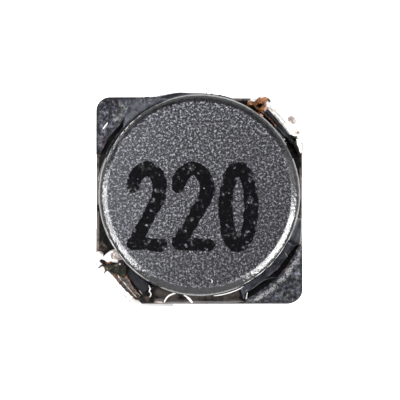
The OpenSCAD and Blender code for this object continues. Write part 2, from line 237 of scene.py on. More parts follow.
def pressed_ferrite():
    """The ring as pressed and fired: mottled grey, marks that follow its form, painted shade low down, a
    painted highlight by the pocket, plain outer walls.
    """
    s = Shader("pressed_ferrite")
    where = s.place()
    grain = s.noise(where, 11.0, 3.0, 0.65)
    fine = s.noise(where, 27.0, 1.0, 0.5)
    cloud = s.noise(where, 2.3, 3.0, 0.6)
    hue = s.noise(where, 1.5, 3.0, 0.65, 0.4)
    shade = s.ramp(
        grain,
        (0.38, (0.008, 0.008, 0.01)),
        (0.48, (0.029, 0.029, 0.034)),
        (0.57, (0.07, 0.07, 0.08)),
        (0.7, (0.168, 0.168, 0.18)),
    )
    tint = s.ramp(
        hue,
        (0.36, (1.12, 0.9, 0.9)),
        (0.47, (0.92, 0.95, 1.08)),
        (0.56, (0.95, 1.0, 0.86)),
        (0.66, (0.85, 0.9, 1.05)),
    )
    tone = s.ramp(cloud, (0.36, 0.5), (0.62, 1.5))
    shade = s.mix(1.0, s.mix(1.0, shade, tint, "MULTIPLY"), tone, "MULTIPLY")
    spots = s.axes(where)

    # Pale band on the posts' tops beside the drum's pocket, stronger to the right: partly wear, partly a
    # painted highlight along the pocket's edge. And single bright specks.
    ridge = s.math("ADD", s.away(where, 0, 0), s.times(cloud, 0.05))
    worn = s.times(s.rise(ridge, 3.1, 3.15), s.rise(ridge, 3.29, 3.2))
    worn = s.times(s.times(worn, s.rise(spots["Z"], POST_Z - 0.08, POST_Z - 0.03)), s.rise(grain, 0.3, 0.56))
    worn = s.times(s.times(worn, s.rise(spots["X"], -2.6, 1.5)), s.rise(fine, 0.36, 0.56))
    shade = s.mix(worn, shade, (0.3, 0.3, 0.31))
    shade = s.mix(s.times(s.rise(fine, 0.73, 0.79), 0.6), shade, (0.5, 0.49, 0.48))

    # Below the tops it is darker and browner: partly painted shade in the low parts, partly a dark resin
    # film. The outer walls and the posts' rounded corners take no marks.
    low = s.rise(spots["Z"], POST_Z - 0.1, POST_Z - 0.3)
    shade = s.mix(low, shade, s.mix(1.0, shade, (0.6, 0.5, 0.46), "MULTIPLY"))
    sides = s.axes(s.vector("ABSOLUTE", where).outputs[0])
    reach = s.math("MAXIMUM", sides["X"], sides["Y"])
    spread = s.math("ABSOLUTE", s.vector("DOT_PRODUCT", where, (DIAGONAL, DIAGONAL, 0)).outputs["Value"])
    across = s.math("ABSOLUTE", s.vector("DOT_PRODUCT", where, (DIAGONAL, -DIAGONAL, 0)).outputs["Value"])
    inside = s.times(s.rise(reach, HALF_W - 0.003, HALF_W - 0.01), s.rise(across, 3.8, 3.75))
    above = s.times(s.rise(spots["Z"], POST_Z - 0.65, POST_Z - 0.58), inside)

    # The ledges between the posts: painted shade, near black, with pale patches; and a near black slot next
    # to the drum, also painted shade.
    ledge = s.times(above, s.rise(spots["Z"], POST_Z - 0.4, POST_Z - 0.5))
    shade = s.mix(s.times(ledge, 0.75), shade, (0.003, 0.002, 0.002))
    patch = s.rise(s.noise(where, 4.2, 2.0, 0.6, 0.3), 0.5, 0.6)
    patch = s.times(s.times(ledge, patch), s.rise(grain, 0.38, 0.5))
    shade = s.mix(s.times(patch, 0.75), shade, (0.2, 0.17, 0.16))
    slot = s.times(s.times(low, above), s.rise(ridge, 3.1, 3.02))
    shade = s.mix(s.times(slot, 0.92), shade, (0.002, 0.002, 0.002))

    # Near black flecked with brown at the two terminal corners: painted shade.
    ends = s.times(s.rise(spread, 2.45, 2.7), s.rise(across, 1.22, 1.0))
    corner_shade = s.ramp(
        s.noise(where, 4.5, 3.0, 0.65, 0.4),
        (0.4, (0.002, 0.002, 0.002)),
        (0.54, (0.009, 0.006, 0.005)),
        (0.66, (0.09, 0.065, 0.05)),
    )
    shade = s.mix(s.times(s.times(ends, above), 0.9), shade, corner_shade)

    # The border is chipped pale along the ledges and dark along the posts' tops.
    border = s.rise(reach, HALF_W - 0.09, HALF_W - 0.04)
    chipped = s.times(s.times(border, ledge), s.rise(hue, 0.4, 0.56))
    shade = s.mix(s.times(chipped, 0.85), shade, (0.24, 0.2, 0.185))
    border = s.times(border, s.rise(spots["Z"], POST_Z - 0.5, POST_Z - 0.2))
    shade = s.mix(s.times(border, 0.6), shade, (0.006, 0.006, 0.007))
    return s.finish(
        Base_Color=shade,
        Roughness=s.math("ADD", s.times(cloud, 0.3), 0.35),
        Normal=s.bump(grain, 0.00003, 0.6),
        IOR=1.5,
        Specular_IOR_Level=0.1,
    )


def clouded(name, grain, stops, bump=None, **sockets):
    """Clouded finish: noise of grain (scale, detail, roughness, warp) gives the colour and the relief."""
    s = Shader(name)
    cloud = s.noise(s.place(), *grain)
    if bump:
        sockets["Normal"] = s.bump(cloud, *bump)
    return s.finish(Base_Color=s.ramp(cloud, *stops), **sockets)


def enamelled_wire():
    return clouded(
        "enamelled_wire", (9.0, 2.0), [(0.3, (0.08, 0.026, 0.008)), (0.7, (0.3, 0.11, 0.035))],
        Metallic=0.3, Roughness=0.3, Coat_Weight=0.3, Coat_Roughness=0.08,
    )


def tinned_sheet():
    s = Shader("tinned_sheet")
    cloud = s.noise(s.place(), 3.0, 3.0, 0.6, 0.4)
    shade = s.ramp(cloud, (0.3, (0.9, 0.89, 0.87)), (0.6, (1.0, 1.0, 0.99)))
    return s.finish(
        Base_Color=shade,
        Metallic=0.2,
        Roughness=s.math("ADD", s.times(cloud, 0.3), 0.3),
        Normal=s.bump(cloud, 0.00002, 0.4),
    )


def amber_resin():
    stops = [(0.38, (0.006, 0.003, 0.002)), (0.55, (0.035, 0.013, 0.005)), (0.7, (0.15, 0.055, 0.018))]
    return clouded(
        "amber_resin", (5.0, 3.0, 0.6, 0.6), stops, (0.00003, 0.6), Roughness=0.25, Coat_Weight=0.15
    )


def brown_resin():
    """Paler resin, where it lies thin over the solder."""
    stops = [
        (0.38, (0.008, 0.004, 0.003)),
        (0.5, (0.045, 0.016, 0.007)),
        (0.6, (0.13, 0.045, 0.015)),
        (0.7, (0.28, 0.13, 0.06)),
    ]
    return clouded(
        "brown_resin", (6.0, 3.0, 0.6, 0.6), stops, (0.00004, 0.6), Roughness=0.28, Coat_Weight=0.1
    )


def bright_solder():
    stops = [(0.35, (0.62, 0.5, 0.43)), (0.52, (0.97, 0.96, 0.95))]
    return clouded("bright_solder", (6.0, 3.0, 0.6, 0.5), stops, (0.00004, 0.6), Metallic=0.3, Roughness=0.25)


def fluxed_solder():
    """Solder stained by flux, from near black through copper to cream."""
    stops = [
        (0.4, (0.03, 0.009, 0.003)),
        (0.49, (0.17, 0.045, 0.01)),
        (0.56, (0.34, 0.12, 0.025)),
        (0.63, (0.25, 0.15, 0.05)),
        (0.74, (0.55, 0.36, 0.2)),
    ]
    return clouded(
        "fluxed_solder", (6.0, 3.0, 0.6, 0.6), stops, (0.00005, 0.7), Roughness=0.32, Coat_Weight=0.15
    )


def dark_flux():
    """Burnt flux: near black with a few tan flakes."""
    stops = [
        (0.42, (0.002, 0.002, 0.002)),
        (0.55, (0.018, 0.018, 0.012)),
        (0.65, (0.07, 0.055, 0.035)),
        (0.76, (0.32, 0.25, 0.16)),
    ]
    return clouded(
        "dark_flux", (7.0, 3.0, 0.65, 0.8), stops, (0.00005, 0.7), Roughness=0.3, Specular_IOR_Level=0.12
    )


def glue(name, scale, stops, bump, rough, gloss):
    """Cured adhesive, clouded between two shades."""
    grain = (scale, 3.0, 0.6, 0.3)
    return clouded(name, grain, stops, bump, Roughness=rough, IOR=1.5, Specular_IOR_Level=gloss)


# Black adhesive; the same black also draws a painted shadow line at the finish plate's edge.
def black_adhesive():
    stops = [(0.35, (0.01, 0.01, 0.013)), (0.65, (0.036, 0.038, 0.048))]
    return glue("black_adhesive", 2.6, stops, (0.00004, 0.5), 0.3, 0.15)


def grey_adhesive():
    stops = [(0.35, (0.02, 0.021, 0.027)), (0.65, (0.066, 0.07, 0.086))]
    return glue("grey_adhesive", 4.0, stops, (0.00005, 0.6), 0.25, 0.4)


def brown_adhesive():
    stops = [(0.38, (0.006, 0.005, 0.005)), (0.62, (0.045, 0.038, 0.034))]
    return glue("brown_adhesive", 3.4, stops, (0.00006, 0.7), 0.4, 0.12)


def stamped_ink():
    s = Shader("stamped_ink")
    where = s.place()
    grain = s.noise(where, 13.0, 2.0, 0.6)
    worn = s.noise(where, 2.6, 2.0, 0.6)
    dark = s.ramp(
        grain, (0.35, (0.001, 0.001, 0.0015)), (0.62, (0.003, 0.003, 0.004)), (0.74, (0.05, 0.05, 0.055))
    )
    thin = s.ramp(
        grain, (0.4, (0.004, 0.004, 0.005)), (0.56, (0.03, 0.03, 0.034)), (0.68, (0.25, 0.25, 0.27))
    )
    factor = s.ramp(worn, (0.56, 0.0), (0.66, 0.9))
    return s.finish(
        Base_Color=s.mix(factor, dark, thin),
        Roughness=0.65,
        Specular_IOR_Level=0.05,
        Normal=s.bump(grain, 0.000012, 0.5),
    )


def pale_residue_and_painted_light():
    """Thin dried film, from pinkish grey to cream; also drawn as a painted glint and a painted shadow line.
    """
    stops = [(0.36, (0.14, 0.11, 0.11)), (0.5, (0.42, 0.34, 0.31)), (0.66, (0.85, 0.78, 0.7))]
    return clouded("pale_residue_and_painted_light", (9.0, 3.0, 0.6, 0.5), stops, (0.00003, 0.5), Roughness=0.35)


# Pale flecks: real dust and fibres, and also painted highlights and painted glints drawn as pale strands and
# dots.
def pale_dust_and_highlight():
    return clouded(
        "pale_dust_and_highlight", (8.0, 2.0), [(0.3, (0.75, 0.74, 0.72)), (0.7, (0.95, 0.95, 0.94))], Roughness=0.4
    )


def white_floor():
    return clouded(
        "white_floor", (0.5, 2.0), [(0.3, 0.96), (0.7, 1.0)],
        Roughness=0.9, Emission_Color=(1, 1, 1), Emission_Strength=1.0,
    )


GROUND = ground_ferrite()
ROLLED = rolled_ferrite()
PRESSED = pressed_ferrite()
TINNED = tinned_sheet()
AMBER = amber_resin()
RESIN = brown_resin()
BRIGHT = bright_solder()
FLUXED = fluxed_solder()
FLUX = dark_flux()
BLACK_ADHESIVE_AND_SHADOW = black_adhesive()
BROWN = brown_adhesive()
GREY = grey_adhesive()
INK = stamped_ink()
DUST_AND_HIGHLIGHT = pale_dust_and_highlight()
RESIDUE_AND_PAINTED_LIGHT = pale_residue_and_painted_light()
WIRE = enamelled_wire()


# ---------- mesh helpers, all in millimetres ----------


def add_piece(name, points, faces, materials, crease=None):
    """Smooth piece from points in millimetres. Edges sharper than crease degrees stay sharp."""
    mesh = bpy.data.meshes.new(name)
    mesh.from_pydata([tuple(c * MM for c in p) for p in points], [], faces)
    for material in materials:
        mesh.materials.append(material)
    mesh.polygons.foreach_set("use_smooth", [True] * len(mesh.polygons))
    mesh.update()
    if crease:
        mesh.set_sharp_from_angle(angle=math.radians(crease))
    piece = bpy.data.objects.new(name, mesh)
    bpy.context.scene.collection.objects.link(piece)
    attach(piece, "root")
    return piece


def lathe(name, profile, materials, zones):
    """Turns a closed profile of (radius, z) round the drum axis. Zones give each edge its material."""
    steps = 288
    points, faces, indices = [], [], []
    rings = []
    for r, z in profile:
        if r == 0:
            rings.append([len(points)] * steps)
            points.append((AXIS_X, AXIS_Y, z))
            continue
        rings.append(list(range(len(points), len(points) + steps)))
        for k in range(steps):
            a = 2 * math.pi * k / steps
            points.append((AXIS_X + r * math.cos(a), AXIS_Y + r * math.sin(a), z))
    for low, high, zone in zip(rings, rings[1:], zones):
        for k in range(steps):
            n = (k + 1) % steps
            face = [low[k], low[n], high[n], high[k]]
            face = [v for i, v in enumerate(face) if v not in face[:i]]
            if len(face) > 2:
                faces.append(face)
                indices.append(zone)
    piece = add_piece(name, points, faces, materials, crease=18)
    piece.data.polygons.foreach_set("material_index", indices)
    return piece


def smooth_min(a, b, k):
    """The smaller of two fields, with their crease rounded over the width k."""
    if not k:
        return np.minimum(a, b)
    h = np.clip(0.5 + 0.5 * (b - a) / k, 0, 1)
    return b * (1 - h) + a * h - k * h * (1 - h)


def strokes_field(x, y, strokes, blend=0.0):
    """Signed distance to round strokes, each a list of (x, y, radius)."""
    field = np.full(x.shape, 9.0)
    for stroke in strokes:
        ends = stroke[1:] or stroke
        for (ax, ay, ar), (bx, by, br) in zip(stroke, ends):
            ux, uy = bx - ax, by - ay
            span = max(ux * ux + uy * uy, 1e-9)
            t = np.clip(((x - ax) * ux + (y - ay) * uy) / span, 0, 1)
            field = smooth_min(
                field, np.hypot(x - ax - t * ux, y - ay - t * uy) - (ar + (br - ar) * t), blend
            )
    return field


def shape_field(x, y, outline):
    """Signed distance to a closed outline of (x, y)."""
    field = np.full(x.shape, 9.0)
    inside = np.zeros(x.shape, bool)
    for (ax, ay), (bx, by) in zip(outline, outline[1:] + outline[:1]):
        ux, uy = bx - ax, by - ay
        t = np.clip(((x - ax) * ux + (y - ay) * uy) / (ux * ux + uy * uy), 0, 1)
        field = np.minimum(field, np.hypot(x - ax - t * ux, y - ay - t * uy))
        if ay != by:
            inside ^= ((ay > y) != (by > y)) & (x < ax + (y - ay) * ux / uy)
    return np.where(inside, -field, field)


def noise_grid(x, y, scale, seed=0.0):
    """Noise from -1 to 1 over a grid, the same on each run."""
    flat = [noise.noise(Vector((a * scale, b * scale, seed))) for a, b in zip(x.ravel(), y.ravel())]
    return np.array(flat).reshape(x.shape)


def cast(name, field, area, cell, height, materials, skirt=None):
    """Sheet where field(x, y) < 0. height(x, y, depth) gives z, and the edge drops to skirt if it's given."""
    x0, y0, x1, y1 = area
    x, y = np.meshgrid(np.arange(x0, x1 + cell, cell), np.arange(y0, y1 + cell, cell))
    away = field(x, y)
    total = away[:-1, :-1] + away[1:, :-1] + away[:-1, 1:] + away[1:, 1:]
    kept = np.zeros((x.shape[0] + 1, x.shape[1] + 1), bool)
    kept[1:-1, 1:-1] = total < 0
    near = kept[:-1, :-1].astype(int) + kept[1:, :-1] + kept[:-1, 1:] + kept[1:, 1:]
    rim = (near > 0) & (near < 4)
    # Two steps bring the border's points onto the outline.
    for _ in range(2):
        slope_y, slope_x = np.gradient(field(x, y), cell)
        steep = np.maximum(slope_x**2 + slope_y**2, 0.2)
        step = np.clip(np.where(rim, field(x, y), 0) / steep, -cell, cell)
        x, y = x - step * slope_x, y - step * slope_y
    z = height(x, y, np.maximum(-field(x, y), 0))
    number = -np.ones(x.shape, int)
    number[near > 0] = np.arange((near > 0).sum())
    points = [(a, b, c) for a, b, c in zip(x[near > 0], y[near > 0], z[near > 0])]
    faces = []
    low = {}

    def foot(v):
        if v not in low:
            low[v] = len(points)
            points.append((points[v][0], points[v][1], skirt))
        return low[v]

    rows, columns = np.nonzero(kept)
    for j, i in zip(rows, columns):
        ring = [number[j - 1, i - 1], number[j - 1, i], number[j, i], number[j, i - 1]]
        faces.append([int(v) for v in ring])
        if skirt is None:
            continue
        for k, (dj, di) in enumerate(((-1, 0), (0, 1), (1, 0), (0, -1))):
            if not kept[j + dj, i + di]:
                a, b = int(ring[k]), int(ring[(k + 1) % 4])
                faces.append([a, foot(a), foot(b), b])
    return add_piece(name, points, faces, materials)


def rounded(low, rise, edge):
    """Height that climbs from low over a round edge of the given width."""

    def height(x, y, depth):
        t = np.clip(depth / edge, 0, 1)
        return low + rise * np.sqrt(1 - (1 - t) ** 2)

    return height


def curve_points(points, per_span=6):
    """Catmull-Rom curve through points of any size."""
    knots = [np.array(p, float) for p in points]
    knots = [2 * knots[0] - knots[1], *knots, 2 * knots[-1] - knots[-2]]
    out = []
    for a, b, c, d in zip(knots, knots[1:], knots[2:], knots[3:]):
        for k in range(per_span):
            t = k / per_span
            bend = 2 * a - 5 * b + 4 * c - d
            twist = 3 * b - a - 3 * c + d
            out.append(0.5 * (2 * b + (c - a) * t + bend * t**2 + twist * t**3))
    return [*out, knots[-2]]


def fibre(name, points, materials, sides=8):
    """Round strand through (x, y, z, radius)."""
    path = curve_points(points)
    verts, faces = [], []
    for i, p in enumerate(path):
        way = Vector((path[min(i + 1, len(path) - 1)] - path[max(i - 1, 0)])[:3]).normalized()
        across = way.cross(Vector((0, 0, 1)) if abs(way.z) < 0.9 else Vector((1, 0, 0))).normalized()
        up = across.cross(way)
        for k in range(sides):
            a = 2 * math.pi * k / sides
            verts.append(tuple(Vector(p[:3]) + float(p[3]) * (math.cos(a) * across + math.sin(a) * up)))
    for i in range(len(path) - 1):
        for k in range(sides):
            n = (k + 1) % sides
            faces.append([i * sides + k, i * sides + n, (i + 1) * sides + n, (i + 1) * sides + k])
    faces.append(list(range(sides))[::-1])
    faces.append([(len(path) - 1) * sides + k for k in range(sides)])
    return add_piece(name, verts, faces, materials)


def lump(name, blobs, materials, voxel=0.03, smooth=4, rough=0.0, seed=0.0):
    """Balls and rods of (x, y, z, radius) melted into one skin."""
    bm = bmesh.new()
    for chain in blobs:
        run = curve_points(chain, 4) if len(chain) > 1 else [np.array(chain[0], float)]
        for p in run:
            made = bmesh.ops.create_icosphere(bm, subdivisions=2, radius=float(p[3]))
            bmesh.ops.translate(bm, verts=made["verts"], vec=Vector(p[:3]))
    mesh = bpy.data.meshes.new(name + "_raw")
    bm.to_mesh(mesh)
    bm.free()
    raw = bpy.data.objects.new(name + "_raw", mesh)
    bpy.context.scene.collection.objects.link(raw)
    melt = raw.modifiers.new("melt", "REMESH")
    melt.mode, melt.voxel_size = "VOXEL", voxel
    soft = raw.modifiers.new("soft", "SMOOTH")
    soft.factor, soft.iterations = 0.5, smooth
    done = raw.evaluated_get(bpy.context.evaluated_depsgraph_get()).to_mesh()
    points = [v.co + v.normal * rough * noise.noise(v.co * 9 + Vector((seed, 0, 0))) for v in done.vertices]
    points = [tuple(p) for p in points]
    faces = [list(p.vertices) for p in done.polygons]
    bpy.data.objects.remove(raw)
    return add_piece(name, points, faces, materials)


def fill(name, run, z_in, z_out, materials, low=WALL_Z, wave=0.0):
    """Adhesive round the drum, concave with a round edge. Run is (angle, outer radius), angles rising."""
    first, last = run[0][0], run[-1][0]
    count = max(2, int(last - first))
    smooth = curve_points(run, 8)
    smooth_a = [p[0] for p in smooth]
    smooth_r = [p[1] for p in smooth]
    r_in = FLANGE_R - 0.01
    rows = 14
    edge = 0.3
    points, faces = [], []
    for i in range(count + 1):
        t = i / count
        a = first + (last - first) * t
        r_out = float(np.interp(a, smooth_a, smooth_r))
        close = min(1.0, math.sqrt(max(0.0, 1 - (1 - min(1, min(t, 1 - t) * count / 4)) ** 2)) + 0.05)
        for k in range(rows + 1):
            s = k / rows
            r = r_in + (r_out - r_in) * s
            z = z_out + (z_in - z_out) * (1 - s) ** 2.2
            into = (1 - s) / edge
            if into < 1:
                z = low + (z - low) * math.sqrt(max(0.0, 1 - (1 - into) ** 2))
            z = low + (z - low) * close
            b = math.radians(a)
            px, py = AXIS_X + r * math.cos(b), AXIS_Y + r * math.sin(b)
            z += wave * noise.noise(Vector((px * 4, py * 4, 0))) * min(1, into)
            points.append((px, py, z))
    for i in range(count):
        for k in range(rows):
            a, b = i * (rows + 1) + k, (i + 1) * (rows + 1) + k
            faces.append([a, a + 1, b + 1, b])
    return add_piece(name, points, faces, materials)


# ---------- the CAD nodes' finishes ----------

for name, material in {
    "shield_ring": PRESSED,
    "winding": WIRE,
    "terminal_start": TINNED,
    "terminal_finish": TINNED,
    "terminal_bond_start": AMBER,
    "terminal_bond_finish": AMBER,
    "solder_start": BRIGHT,
    "solder_finish": BRIGHT,
    "adhesive_north": BLACK_ADHESIVE_AND_SHADOW,
    "adhesive_south": BROWN,
    "adhesive_southeast": BLACK_ADHESIVE_AND_SHADOW,
    "drum_core": GROUND,
}.items():
    NODES[name].data.materials.clear()
    NODES[name].data.materials.append(material)

# ---------- drum core, turned with finer facets and a rounder top edge than the solid ----------

RIM_R, BEVEL_W, BEVEL_DROP = 0.12, 0.12, 0.07
FOOT_R, FOOT_T, FOOT_EDGE, POST_R = 2.3, 0.5, 0.05, 1.5
BAND_W, SHOULDER_W, LIP_W = 0.118, 0.079, 0.043
SHOULDER_TILT = 42


def turn_drum():
    """The spool, from its profile of (radius, z)."""
    bevel_in = FLANGE_R - RIM_R - BEVEL_W
    turn = math.radians(90) - math.atan2(BEVEL_DROP, BEVEL_W)
    profile = [(0, FOOT_Z), (FOOT_R - FOOT_EDGE, FOOT_Z), (FOOT_R, FOOT_Z + FOOT_EDGE)]
    profile += [(FOOT_R, FOOT_Z + FOOT_T - FOOT_EDGE), (FOOT_R - FOOT_EDGE, FOOT_Z + FOOT_T)]
    profile += [(POST_R, FOOT_Z + FOOT_T), (POST_R, FLANGE_Z), (FLANGE_R, FLANGE_Z)]
    side = len(profile) - 1
    drop = BEVEL_DROP + RIM_R * (1 - math.sin(turn))
    slope = math.degrees(math.atan2(drop, BEVEL_W + RIM_R * (1 - math.cos(turn))))
    # The top edge in three stretches of (width, tilt at its start, tilt at its end, steps).
    roll = [(bevel_in, TOP_Z)]
    stretches = (
        (BAND_W, slope, slope, 1),
        (SHOULDER_W, slope, SHOULDER_TILT, 5),
        (LIP_W, SHOULDER_TILT, 90, 8),
    )
    for width, tilt_in, tilt_out, steps in stretches:
        start_r, start_z = roll[-1]
        a, b = math.radians(tilt_in), math.radians(tilt_out)
        for k in range(1, steps + 1):
            c = a + (b - a) * k / steps
            if a == b:
                roll.append((start_r + width, start_z - width * math.tan(a)))
                continue
            size = width / (math.sin(b) - math.sin(a))
            out, down = math.sin(c) - math.sin(a), math.cos(a) - math.cos(c)
            roll.append((start_r + size * out, start_z - size * down))
    profile += roll[::-1] + [(0, TOP_Z)]
    # Materials in order: ground top, rolled edge, and plain pressed ferrite on the wall and below.
    zones = [2] * (side + 1) + [1] * (len(profile) - side - 3) + [0]
    drum = lathe("drum_turned", profile, [GROUND, ROLLED, PRESSED], zones)
    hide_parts("drum_core")


turn_drum()

# ---------- adhesive ----------


def run_adhesive():
    """The runs round the drum, and the drop on the one at the bottom side."""
    northwest = [
        (104, 2.9), (112, 3.0), (120, 3.04), (128, 3.02), (134, 2.93), (139, 2.85), (150, 2.835),
        (164, 2.83), (172, 2.85),
    ]
    fill("adhesive_fillet_northwest", northwest, 2.5, 2.42, [GREY], low=2.1)
    top_run = [
        (68, 2.8), (72, 2.85), (78, 2.845), (84, 2.83), (90, 2.84), (95, 2.855), (101, 2.92), (106, 2.95),
        (111, 2.98), (117, 3.05),
    ]
    north = fill("adhesive_top", top_run, 2.6, 2.5, [BLACK_ADHESIVE_AND_SHADOW])
    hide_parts("adhesive_north")
    east = [
        (-68, 3.2), (-65, 3.1), (-61.8, 2.99), (-58, 2.985), (-54.2, 2.97), (-51, 3.0), (-46, 3.015),
        (-41, 3.02), (-34.7, 3.0), (-30, 2.98), (-26, 3.1),
    ]
    southeast = fill("adhesive_arches", east, 2.56, 2.36, [GREY], wave=0.02)
    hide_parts("adhesive_southeast")
    fill(
        "adhesive_arch_end",
        [(-29, 3.0), (-26, 3.12), (-22, 3.06), (-12, 2.9)],
        2.54, 2.36, [BLACK_ADHESIVE_AND_SHADOW], wave=0.02,
    )
    south_run = [(-116, 3.2), (-110, 3.12), (-100, 3.02), (-90, 2.97), (-80, 3.02), (-70, 3.16), (-66, 3.24)]
    south = fill("adhesive_strip", south_run, 2.42, 2.3, [BROWN], wave=0.03)
    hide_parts("adhesive_south")
    drop_area = (-1.1, -2.85, -0.1, -2.45)
    drop = [[(-0.59, -2.86, 0.29)], [(-0.75, -2.86, 0.2)], [(-0.42, -2.86, 0.2)]]
    cast(
        "adhesive_drop",
        lambda x, y: np.maximum(strokes_field(x, y, drop, 0.1), -HALF_W - y),
        drop_area, 0.02, rounded(2.1, 0.3, 0.25), [BROWN], 2.06,
    )


def arc_strand(name, run, z, thick, material):
    """Thin raised line that follows the drum and thins at its ends: run is (angle, radius)."""
    places = []
    for k, (angle, r) in enumerate(run):
        a = math.radians(angle)
        inner = 0 < k < len(run) - 1
        places.append((AXIS_X + r * math.cos(a), AXIS_Y + r * math.sin(a), z, thick if inner else thick / 3))
    fibre(name, places, [material], sides=6)


def draw_menisci():
    """Thin lines where the adhesive ends. The pale ones are painted: a highlight on the drum's lower edge, a
    highlight round the drop's rim and a glint on the lower right post.
    """
    arc_strand(
        "meniscus_first",
        [(-58, 2.84), (-54, 2.855), (-48, 2.86), (-42, 2.865), (-36, 2.86), (-31, 2.85)],
        2.53, 0.012, PRESSED,
    )
    arc_strand("meniscus_second", [(-65, 2.97), (-61, 2.97), (-56, 2.95), (-51, 2.955)], 2.45, 0.014, GREY)
    fibre(
        "meniscus_bend",
        [
            (1.55, -2.35, 2.43, 0.008), (1.75, -2.24, 2.47, 0.012), (1.91, -2.17, 2.52, 0.012),
            (2.07, -2.14, 2.57, 0.01), (2.2, -2.15, 2.6, 0.006),
        ],
        [GREY],
    )
    fibre(
        "glint_southeast",
        [(2.35, -1.43, 2.5, 0.005), (2.4, -1.5, 2.53, 0.01), (2.44, -1.57, 2.5, 0.005)],
        [RESIDUE_AND_PAINTED_LIGHT],
    )
    arc_strand(
        "meniscus_third",
        [(-50, 2.96), (-43, 2.965), (-37, 2.95), (-31, 2.96), (-26, 3.02)],
        2.44, 0.014, PRESSED,
    )
    arc_strand(
        "edge_highlight_south",
        [(-82, 2.815), (-79, 2.82), (-75, 2.825), (-71, 2.825), (-67, 2.82), (-64, 2.8)],
        2.56, 0.014, DUST_AND_HIGHLIGHT,
    )
    # Painted highlight: a pale line along the drum's lower edge.
    arc_strand(
        "meniscus_northwest",
        [(134, 2.83), (140, 2.825), (146, 2.82), (154, 2.82), (162, 2.81)],
        2.5, 0.01, PRESSED,
    )
    # Painted highlight round the drop's rim.
    fibre(
        "drop_rim_highlight",
        [
            (-0.97, -2.83, 2.2, 0.012), (-0.92, -2.72, 2.3, 0.02), (-0.82, -2.63, 2.36, 0.024),
            (-0.65, -2.565, 2.38, 0.024), (-0.48, -2.585, 2.38, 0.022), (-0.34, -2.67, 2.36, 0.03),
            (-0.24, -2.77, 2.3, 0.035), (-0.2, -2.82, 2.26, 0.03),
        ],
        [DUST_AND_HIGHLIGHT],
    )


run_adhesive()
draw_menisci()

# Painted highlight: a broken bright line of pale strands along the drum's rolled edge. The edge falls away
# outside this radius.
RIM_LINE_R, RIM_LINE_Z = 2.725, TOP_Z - 0.085
for name, start, stop, radius, thick in (
    ("rim_line_first", 126, 129, 2.724, 0.004),
    ("rim_line_second", 131, 135, 2.728, 0.008),
    ("rim_line_third", 136, 139, 2.722, 0.007),
    ("rim_line_fourth", 140, 143, 2.727, 0.009),
    ("rim_line_fifth", 144, 151, 2.723, 0.005),
    ("rim_line_sixth", 153, 160, 2.726, 0.004),
    ("rim_line_seventh", 199, 204, 2.745, 0.005),
    ("rim_line_eighth", 206, 214, 2.748, 0.006),
    ("rim_line_ninth", 216, 222, 2.744, 0.005),
    ("rim_line_tenth", 225, 235, 2.748, 0.004),
    ("rim_line_eleventh", 297, 303, 2.745, 0.006),
    ("rim_line_twelfth", 304, 312, 2.742, 0.008),
    ("rim_line_thirteenth", 313, 318, 2.747, 0.006),
    ("rim_line_fourteenth", 320, 329, 2.743, 0.007),
    ("rim_line_fifteenth", 331, 338, 2.746, 0.005),
    ("rim_line_sixteenth", 341, 350, 2.744, 0.004),
):
    middle = (start + stop) / 2
    height = RIM_LINE_Z - (radius - RIM_LINE_R)
    arc_strand(name, [(start, radius), (middle, radius + 0.003), (stop, radius)], height, thick, DUST_AND_HIGHLIGHT)
arc_strand(
    "meniscus_ridge", [(130.5, 3.02), (137, 2.98), (144, 2.99), (151, 3.03)], POST_Z - 0.03, 0.01, GREY
)

# ---------- printed number ----------

INK_LOW, INK_HIGH = -1.44, 1.04
STROKE = 0.185
INK_T = 0.003


def arc_points(cx, cy, rx, ry, first, last, count):
    """Stroke points along part of an ellipse, between two angles in degrees."""
    angles = [math.radians(first + (last - first) * k / count) for k in range(count + 1)]
    return [(cx + rx * math.cos(a), cy + ry * math.sin(a), STROKE) for a in angles]


def figure_two(left, right):
    cx, rx = (left + right) / 2, (right - left) / 2 - STROKE
    top, low = INK_HIGH - STROKE, INK_LOW + STROKE
    bow_h = 0.55
    bow = arc_points(cx, top - bow_h, rx, bow_h, 172, -38, 14)
    return [bow + [(left + STROKE + 0.02, low + 0.06, STROKE), (right - STROKE + 0.03, low, STROKE * 0.95)]]


def figure_nought(left, right):
    cx, rx = (left + right) / 2, (right - left) / 2 - STROKE
    ry = (INK_HIGH - INK_LOW) / 2 - STROKE
    return [arc_points(cx, (INK_HIGH + INK_LOW) / 2, rx, ry, 0, 360, 28)]


def print_figure(name, shape, left, right, seed):
    """One figure between left and right, with a ragged border and worn holes."""
    strokes = shape(left, right)

    def field(x, y):
        edge = strokes_field(x, y, strokes, 0.05)
        edge = edge + 0.035 * noise_grid(x, y, 5.0, seed) + 0.02 * noise_grid(x, y, 14.0, seed)
        holes = 0.2 * (noise_grid(x, y, 7.0, seed + 5) - 0.52)
        return np.maximum(edge, holes)

    spare = 0.08
    area = (left - spare, INK_LOW - spare, right + spare, INK_HIGH + spare)
    cast(name, field, area, 0.02, lambda x, y, depth: x * 0 + TOP_Z + INK_T, [INK])


print_figure("print_first", figure_two, -2.0, -0.9, 1.5)
print_figure("print_second", figure_two, -0.76, 0.4, 4.5)
print_figure("print_third", figure_nought, 0.53, 1.62, 7.5)

# ---------- solder, flux, stains, painted shadow lines and glints ---
# Outlines are (x, y) and strands (x, y, z, radius). The ring's ledge is 2.05 up, the terminals' tops 2.1.


def sheet(name, outline, low, rise, material, edge=0.06, blur=0.02, seed=0.0):
    """Thin lump over an outline of (x, y), with a wavering border."""
    xs, ys = [p[0] for p in outline], [p[1] for p in outline]
    spare = 0.06
    area = (min(xs) - spare, min(ys) - spare, max(xs) + spare, max(ys) + spare)

    def field(x, y):
        return shape_field(x, y, outline) + blur * noise_grid(x, y, 13.0, seed)

    cast(name, field, area, 0.02, rounded(low, rise, edge), [material], low - 0.02)


